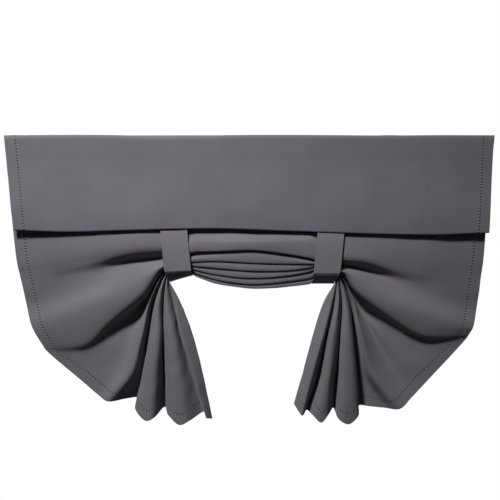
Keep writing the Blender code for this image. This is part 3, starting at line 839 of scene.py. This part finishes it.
# %% [markdown]
# ## The panel's mesh
#
# One flat grid becomes the whole panel. It is slit below each tie, because that is the only way in
# which one cloth can give two free tails and a swag: the notch at each tail's foot is the hemmed
# corner of such a slit. Then each grid point goes to its place, and Solidify gives the thickness,
# which a vertex group makes three layers deep in the turned hems.


# %% Grid with slits
def flat_grid(columns, rows, slit_columns=(), slit_row=0):
    """A flat grid whose points carry their column and row, slit below a row along some columns."""
    bm = bmesh.new()
    bmesh.ops.create_grid(bm, x_segments=columns, y_segments=rows, size=1)
    column_layer = bm.verts.layers.int.new("column")
    row_layer = bm.verts.layers.int.new("row")
    for vert in bm.verts:
        vert[column_layer] = round((vert.co.x + 1) / 2 * columns)
        vert[row_layer] = round((1 - vert.co.y) / 2 * rows)
    slits = [
        edge for edge in bm.edges
        if all(vert[column_layer] in slit_columns and vert[row_layer] >= slit_row for vert in edge.verts)
    ]
    bmesh.ops.split_edges(bm, edges=slits)
    return bm, column_layer, row_layer


HEM_CLOTH = 0.0012
SINGLE_CLOTH = 0.00045


def cloth_piece(name, bm, facts, material, thickness=HEM_CLOTH, single=SINGLE_CLOTH):
    """A sheet with its thickness, its hem and its two UV maps, given the facts of each vertex."""
    weave, hem = (bm.loops.layers.uv.new(layer) for layer in ("weave", "hem"))
    for vert, fact in facts.items():
        vert.co = fact["place"]
    for face in bm.faces:
        face.smooth = True
        for loop in face.loops:
            loop[weave].uv = facts[loop.vert]["weave"]
            loop[hem].uv = facts[loop.vert]["hem"]
    bm.verts.index_update()
    turned = {vert.index: fact["turned"] for vert, fact in facts.items()}
    piece = new_piece(name, bm, material)
    group = piece.vertex_groups.new(name="turned_hem")
    for index, weight in turned.items():
        group.add([index], weight, "REPLACE")
    solidify = piece.modifiers.new("cloth_thickness", "SOLIDIFY")
    solidify.thickness = thickness
    solidify.offset = -1.0
    solidify.vertex_group = "turned_hem"
    solidify.thickness_vertex_group = single / thickness
    return piece


print("Cloth is", SINGLE_CLOTH * 1000, "mm thick, and", HEM_CLOTH * 1000, "mm in its hems")

# %% [markdown]
# ## The curtain panel
#
# Every point of the flat grid looks up its place in one of the three zones. Along a slit two points
# share a column, so the side on which a point's faces lie tells which zone it belongs to.


# %% Curtain panel
FREE_HEM_LINE = LINES - 2
SLIT_ROW = UPPER_ROWS + JOINED_LINES * FOLD_STEPS


def zone_of(vert, column, row):
    """Which of the three zones a grid point belongs to. Past the slit, its own faces say on which side."""
    ties = (WING_COLUMNS, WING_COLUMNS + SWAG_COLUMNS)
    middle = sum(face.calc_center_median().x for face in vert.link_faces) / len(vert.link_faces)
    if column < ties[0] or (column == ties[0] and row > SLIT_ROW and middle < vert.co.x):
        return "left", column
    if column > ties[1] or (column == ties[1] and row > SLIT_ROW and middle > vert.co.x):
        return "right", column - ties[1]
    return "swag", column - ties[0]


bm, column_layer, row_layer = flat_grid(
    2 * WING_COLUMNS + SWAG_COLUMNS, UPPER_ROWS + len(PLACES) - 1,
    slit_columns=(WING_COLUMNS, WING_COLUMNS + SWAG_COLUMNS), slit_row=SLIT_ROW,
)
facts = {}
for vert in bm.verts:
    row = vert[row_layer]
    zone, column = zone_of(vert, vert[column_layer], row)
    sheet = sheets[zone]
    distance = float(sheet["distance"][row, column])
    free_edge = zone != "swag" and row - UPPER_ROWS >= FREE_HEM_LINE * FOLD_STEPS
    facts[vert] = {
        "place": sheet["points"][row, column],
        "weave": (float(sheet["across"][row, column]), float(sheet["down"][row, column])),
        "hem": (distance, float(sheet["run"][row, column])),
        "turned": 1.0 if distance <= STITCH_INSET or free_edge else 0.0,
    }
panel = cloth_piece("curtain_panel_cloth", bm, facts, panel_cloth)
print("Panel:", len(panel.data.polygons), "faces before its thickness")

# %% [markdown]
# ## The valance flap
#
# The flap is sewn low down behind the pocket, comes up over it and hangs free in front, covering the
# tops of the folds. Its lower corners stand a little further forward than its middle, which leaves
# the dark lens of shadow under each corner. Its bottom edge isn't quite level, so its drop is given
# at a few places along it.

# %% The flap's shape
FLAP_INSET = 0.002
FLAP_BACK_DROP = 0.040
FLAP_BACK_STEPS = 10
FLAP_BACK_TOP = -0.001
FLAP_FRONT_SHARES = (0.2, 0.4, 0.6, 0.8, 1.0)
FLAP_FREE_RISE = 0.004
FLAP_DRAW_IN = (0.026, 0.015)
FLAP_STAND = 0.0165
FLAP_CORNER_STAND = 0.005
FLAP_CURVE = 1.5
FLAP_DROPS = (0.2295, 0.2340, 0.2308, 0.2275, 0.2262, 0.2309, 0.2350, 0.2392, 0.2408, 0.2362)
TOP_DIPS = (0.0015, 0.0, 0.0006, 0.0034, 0.0008, 0.0, 0.0006, 0.0015, 0.0006, 0.0010)
STRAP_CLOTH = 0.0014
FLAP_COLUMNS = 150
FLAP_ROWS = 64
FLAP_HEM = 0.028
FLAP_HEM_MARGIN = 0.004


def flap_places():
    """Shares across the flap, close together at the sewn lines of its two sides."""
    width = PANEL_WIDTH - 2 * FLAP_INSET
    near = np.array(HEM_COLUMNS) / width
    inner = np.linspace(near[-1], 1 - near[-1], FLAP_COLUMNS - 2 * len(near) + 3)
    return np.concatenate([near[:-1], inner, 1 - near[:-1][::-1]])


def flap_cut():
    """Depths and heights of the flap from its seam behind, over the pocket, to where it hangs free."""
    radius = ROD_SPACE / 2 + POCKET_CLOTH + GAP + POCKET_CLOTH / 2
    heights = np.linspace(TOP_EDGE - FLAP_BACK_DROP, FLAP_BACK_TOP, FLAP_BACK_STEPS)
    points = [(radius, height) for height in heights]
    angles = np.linspace(0, math.pi, POCKET_ARC_STEPS + 1)
    points += list(zip(radius * np.cos(angles), radius * np.sin(angles)))
    free_height = TOP_EDGE - POCKET_DROP - POCKET_TURN - GAP + FLAP_FREE_RISE
    top, free = np.array(points[-1]), np.array((-radius - STRAP_CLOTH - GAP, free_height))
    return points + [tuple(mix(top, free, share)) for share in FLAP_FRONT_SHARES]


def flap_sheet():
    """Grid of the flap's points, from the seam behind down to its bottom edge."""
    shares = flap_places()
    across = 2 * shares - 1
    drops = smooth_through([[d] for d in FLAP_DROPS], shares * (len(FLAP_DROPS) - 1))[:, 0]
    dips = smooth_through([[d] for d in TOP_DIPS], shares * (len(TOP_DIPS) - 1))[:, 0]
    cut = flap_cut()
    start_depth, start_height = cut[-1]
    free_length = start_height - TOP_EDGE + FLAP_DROPS[0]
    fall = np.linspace(0, 1 - (FLAP_HEM + FLAP_HEM_MARGIN) / free_length, FLAP_ROWS - len(HEM_COLUMNS) + 1)
    from_bottom = np.array(HEM_COLUMNS[:-1][::-1]) + FLAP_HEM - STITCH_INSET
    fall = np.concatenate([fall, 1 - from_bottom / free_length])
    fall[-1] = 1.0
    rows = []
    for depth, height in cut:
        level = height - dips * ease(height / TOP_EDGE + 0.5)
        rows.append(np.stack([across, np.full_like(across, depth), level], axis=1))
    reach = FLAP_STAND + FLAP_CORNER_STAND * np.abs(across) ** 3
    for share in fall[1:]:
        stand = reach * math.sin(share ** FLAP_CURVE * math.pi / 2)
        height = mix(start_height, TOP_EDGE - drops, share)
        rows.append(np.stack([across, start_depth - stand, height], axis=1))
    sheet = np.array(rows)
    below = np.clip(TOP_EDGE - sheet[..., 2], 0, None) / FLAP_DROPS[0]
    draw_in = mix(*FLAP_DRAW_IN, shares)
    sheet[..., 0] *= PANEL_WIDTH / 2 - FLAP_INSET - draw_in * below
    return sheet


flap_smooth = flap_sheet()
print("Flap:", flap_smooth.shape, "points; lowest", round(float(flap_smooth[..., 2].min()), 3))

# %% [markdown]
# ## The flap's cloth
#
# The flap gets the same kinds of unevenness as the panel, and one more: a slow ripple from side to
# side, which only starts where the cloth hangs free. Its side hems and its bottom hem are turned, so
# they are thicker, and each has a shallow groove where it is sewn.

# %% Flap
FLAP_HEM_CLOTH = 0.0010
FLAP_RIPPLE = 0.0022
FLAP_RIPPLE_SIZE = 0.16
FLAP_RIPPLE_SQUEEZE = 0.6
FLAP_DENT = DENT * 0.8
FLAP_QUIET_RUN = 0.10
BOTTOM_HEM_REACH = 0.033
BOTTOM_GROOVE_SHARE = 0.6
GROOVE_STARTS = 0.01
RIPPLE_LAYER, FLAP_DENT_LAYER, SIDE_HEM_LAYER, BOTTOM_HEM_LAYER = 11, 12, 13, 14

down = run_down(flap_smooth)
x = flap_smooth[..., 0]
distance = np.minimum(x - x[:, :1], x[:, -1:] - x)
to_bottom = down[-1:] - down
hanging = ease((down - FLAP_QUIET_RUN) / FLAP_QUIET_RUN)
below_top = ease((TOP_EDGE - flap_smooth[..., 2]) / GROOVE_STARTS)
move = FLAP_RIPPLE * hanging * noise_grid(x, down * FLAP_RIPPLE_SQUEEZE, FLAP_RIPPLE_SIZE, RIPPLE_LAYER)
move += FLAP_DENT * hanging * noise_grid(x, down, DENT_SIZE, FLAP_DENT_LAYER)
move += puckers(distance, distance * PUCKER_SQUEEZE, down, SIDE_HEM_LAYER)
move += puckers(to_bottom, x, to_bottom * PUCKER_SQUEEZE, BOTTOM_HEM_LAYER, BOTTOM_HEM_REACH)
move -= groove(distance, STITCH_INSET) * below_top + groove(to_bottom, FLAP_HEM) * BOTTOM_GROOVE_SHARE
flap_normals = grid_normals(flap_smooth)
flap_grid = flap_smooth + flap_normals * move[..., None]
flap_down = down
flap_sewn = int(np.argmin(np.abs(distance[-1, :FLAP_COLUMNS // 2] - STITCH_INSET)))

bm, column_layer, row_layer = flat_grid(flap_grid.shape[1] - 1, flap_grid.shape[0] - 1)
facts = {}
for vert in bm.verts:
    here = (vert[row_layer], vert[column_layer])
    facts[vert] = {
        "place": flap_grid[here],
        "weave": (float(flap_grid[here][0]), float(down[here])),
        "hem": (float(distance[here]), float(down[here])),
        "turned": 1.0 if distance[here] <= STITCH_INSET or to_bottom[here] <= FLAP_HEM else 0.0,
    }
flap = cloth_piece("valance_flap_cloth", bm, facts, flap_cloth, thickness=FLAP_HEM_CLOTH)
print("Flap:", len(flap.data.polygons), "faces before its thickness; sewn along column", flap_sewn)

# %% [markdown]
# ## The tie straps
#
# A strap is a folded band with its seam inside. It is sewn in under the flap, runs down in front of
# the gathers, turns under them and goes up behind, so it is one long loop. Its long edges are the
# folds of the band: slightly raised and rounded, which is why each shows as a thin light line.

# %% The straps' shape
STRAP_LEAN = 0.0275
LOOP_FRONT = 0.0310
LOOP_BACK = 0.0095
LOOP_FOOTS = {"left": 0.024, "right": 0.028}
LOOP_ROUND = 0.034
LOOP_ROUND_CURVE = 1.5
LOOP_UNDERSIDE = ((0.045, 0.70), (0.20, 0.46), (0.45, 0.19), (0.66, 0.05), (0.82, 0.02), (0.95, 0.16))
LOOP_LEAVES_POCKET = 0.45
STRAP_TOP_DROP = POCKET_DROP + POCKET_TURN + GAP
STRAP_STEPS = 6
STRAP_EDGES = (0.0, 0.0006, 0.0014, 0.0025, 0.004, 0.006)
STRAP_INNER_COLUMNS = 12
STRAP_PINCH = {"left": 0.0102, "right": 0.0124}
FOOT_TILT = {"left": 0.016, "right": 0.0}


def strap_cut(foot):
    """Depths and drops along a strap, from its seam under the flap, round the gathers and up behind."""
    against = ROD_SPACE / 2 + POCKET_CLOTH + GAP + STRAP_CLOTH / 2
    behind = -ROD_SPACE / 2 + GAP + STRAP_CLOTH / 2
    slack = STRAP_CLOTH + GAP
    points = [
        (-against, STRAP_TOP_DROP),
        (-against - slack, mix(STRAP_TOP_DROP, FOLDS_DROP, 0.5)),
        (mix(-against, -LOOP_FRONT, LOOP_LEAVES_POCKET), FOLDS_DROP),
        (-LOOP_FRONT, mix(FOLDS_DROP, TIE_DROP, 0.5)),
        (-LOOP_FRONT, foot - LOOP_ROUND),
    ]
    for back, rise in LOOP_UNDERSIDE:
        points.append((mix(-LOOP_FRONT, LOOP_BACK, back), foot - LOOP_ROUND * rise))
    points += [
        (LOOP_BACK, foot - LOOP_ROUND),
        (LOOP_BACK, SWAG_HEM_DROPS[-1] - POCKET_TURN),
        (mix(behind, LOOP_BACK, 0.5), FOLDS_DROP),
        (behind + slack, mix(STRAP_TOP_DROP, FOLDS_DROP, 0.5)),
        (behind, STRAP_TOP_DROP),
    ]
    return points


def strap_sheet(side):
    """Grid of a strap's points, and its columns' places across the band."""
    foot = TIE_DROP + LOOP_FOOTS[side]
    cut = strap_cut(foot)
    line = smooth_through(cut, np.linspace(0, len(cut) - 1, (len(cut) - 1) * STRAP_STEPS + 1))
    inward = -math.copysign(1, TIE_PLACES[side])
    near = np.array(STRAP_EDGES)
    inner = np.linspace(near[-1], STRAP_WIDTH - near[-1], STRAP_INNER_COLUMNS)
    stops = np.concatenate([near[:-1], inner, STRAP_WIDTH - near[:-1][::-1]])
    outward = 0.5 - inward * (stops / STRAP_WIDTH - 0.5)
    rows = []
    for depth, drop in line:
        lean = STRAP_LEAN * (drop - TIE_DROP) / (TIE_DROP - STRAP_TOP_DROP)
        low = float(np.clip((drop - foot + LOOP_ROUND) / LOOP_ROUND, 0, 1)) ** LOOP_ROUND_CURVE
        x = TIE_PLACES[side] + inward * lean + stops - STRAP_WIDTH / 2
        x += inward * STRAP_PINCH[side] * low * outward ** 2
        level = drop - FOOT_TILT[side] * low * (1 - outward)
        rows.append(np.stack([x, np.full_like(x, depth), TOP_EDGE - level], axis=1))
    return np.array(rows), stops


strap_smooth = {side: strap_sheet(side) for side in TIE_PLACES}
print("Straps:", {side: points.shape for side, (points, _) in strap_smooth.items()})

# %% [markdown]
# ## The straps' cloth
#
# A band has no hem, so it has one thickness all over. Its raised edges are a ridge of half a
# millimetre just inside each fold, and its middle keeps a few shallow dents.

# %% Straps
EDGE_RIM = 0.00045
EDGE_RIM_INSET = 0.0014
EDGE_RIM_WIDTH = 0.0012
STRAP_DENT = 0.0005
STRAP_DENT_SIZE = 0.035
STRAP_QUIET_EDGE = 0.01
STRAP_LAYER = 20

straps = {}
for layer, (side, (points, stops)) in enumerate(strap_smooth.items()):
    down = run_down(points)
    from_edge = np.broadcast_to(np.minimum(stops, STRAP_WIDTH - stops), down.shape)
    move = EDGE_RIM * np.exp(-((from_edge - EDGE_RIM_INSET) / EDGE_RIM_WIDTH) ** 2)
    dents = noise_grid(points[..., 0], down, STRAP_DENT_SIZE, layer + STRAP_LAYER)
    move += STRAP_DENT * ease(from_edge / STRAP_QUIET_EDGE) * dents
    points = points + grid_normals(points) * move[..., None]
    name = side + "_strap_band"
    bm, column_layer, row_layer = flat_grid(points.shape[1] - 1, points.shape[0] - 1)
    facts = {}
    for vert in bm.verts:
        here = (vert[row_layer], vert[column_layer])
        facts[vert] = {
            "place": points[here],
            "weave": (float(stops[here[1]]), float(down[here])),
            "hem": (NO_HEM_NEAR, float(down[here])),
            "turned": 1.0,
        }
    straps[side] = cloth_piece(name, bm, facts, strap_cloth, thickness=STRAP_CLOTH, single=STRAP_CLOTH)
    print(name, "is a loop of", round(float(down[-1, len(STRAP_EDGES) - 1]), 3), "m")

# %% [markdown]
# ## The stitches
#
# A lockstitch shows as a row of short thread lengths, each going down into a needle hole at both ends.
# There are a few hundred, so each is a small ball of twenty faces, stretched along its line and half
# sunk in the groove. They walk along a sewn line of the finished grid, one in each pitch of the same
# run that places the needle holes' painted shade, so thread and dark dot take turns.

# %% Lines of stitches
THREAD_WIDTH = 0.0016
THREAD_HEIGHT = 0.00035
THREAD_PROUD = 0.25
STITCH_SHARE = 0.50


def at_run(measured, values, run):
    """The vector that a line of values has at a run along it."""
    return Vector([float(np.interp(run, measured, values[:, axis])) for axis in range(3)])


def sew(bm, line, normals, measured):
    """Stitches along a line of points, one in each pitch of its measured run, lying on the cloth."""
    numbers = range(math.ceil(measured[0] / STITCH_PITCH), math.floor(measured[-1] / STITCH_PITCH))
    for number in numbers:
        start = at_run(measured, line, number * STITCH_PITCH)
        end = at_run(measured, line, (number + STITCH_SHARE) * STITCH_PITCH)
        out = at_run(measured, normals, number * STITCH_PITCH).normalized()
        along = (end - start).normalized()
        side = out.cross(along).normalized()
        turn = Matrix((along, side, along.cross(side))).transposed().to_4x4()
        size = Matrix.Diagonal((STITCH_PITCH * STITCH_SHARE / 2, THREAD_WIDTH / 2, THREAD_HEIGHT / 2, 1))
        place = Matrix.Translation((start + end) / 2 + out * THREAD_HEIGHT * THREAD_PROUD)
        bmesh.ops.create_icosphere(bm, subdivisions=1, radius=1, matrix=place @ turn @ size)
    return len(numbers)


def stitch_piece(name, lines):
    """One object with the stitches of several lines."""
    bm = bmesh.new()
    count = sum(sew(bm, *line) for line in lines)
    print(name, count, "stitches")
    return new_piece(name, bm, thread)


print("A stitch is", round(STITCH_PITCH * STITCH_SHARE * 1000, 1), "mm long")

# %% [markdown]
# ## Where the curtain is sewn
#
# The panel's hem is sewn all the way round each tail. The flap is sewn down both sides, and across
# behind the pocket.

# %% Stitches of the panel and the flap
HEM_STARTS_ABOVE_FOLDS = 2
BACK_SEAM_ROW = 2

panel_lines = []
for side in TIE_PLACES:
    sheet = sheets[side]
    hanging_part = (slice(UPPER_ROWS - HEM_STARTS_ABOVE_FOLDS, None), sheet["sewn_column"])
    panel_lines.append([sheet[fact][hanging_part] for fact in ("points", "normals", "run")])
panel_stitches = stitch_piece("panel_hem_stitches", panel_lines)

flap_lines = [
    [grid[FLAP_BACK_STEPS:, column] for grid in (flap_grid, flap_normals, flap_down)]
    for column in (flap_sewn, -1 - flap_sewn)
]
back_seam = flap_grid[BACK_SEAM_ROW]
flap_lines.append([back_seam, flap_normals[BACK_SEAM_ROW], back_seam[:, 0] + PANEL_WIDTH])
flap_stitches = stitch_piece("flap_hem_stitches", flap_lines)

# %% [markdown]
# ## What each piece is
#
# Each cloth stands for its node of the imported model, whose own mesh is hidden, and is listed under
# that node's finish. Nothing moves, so all ride on the one body.

finishes = {
    "panel_cloth": (panel, panel_stitches),
    "flap_cloth": (flap, flap_stitches),
    "strap_cloth": tuple(straps.values()),
}
for slot, pieces in finishes.items():
    for piece in pieces:
        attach(piece, "root")
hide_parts("curtain_panel")
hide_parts("valance_flap")
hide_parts("left_tie_strap")
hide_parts("right_tie_strap")
print("Declared", len(straps) + 2, "sheets")
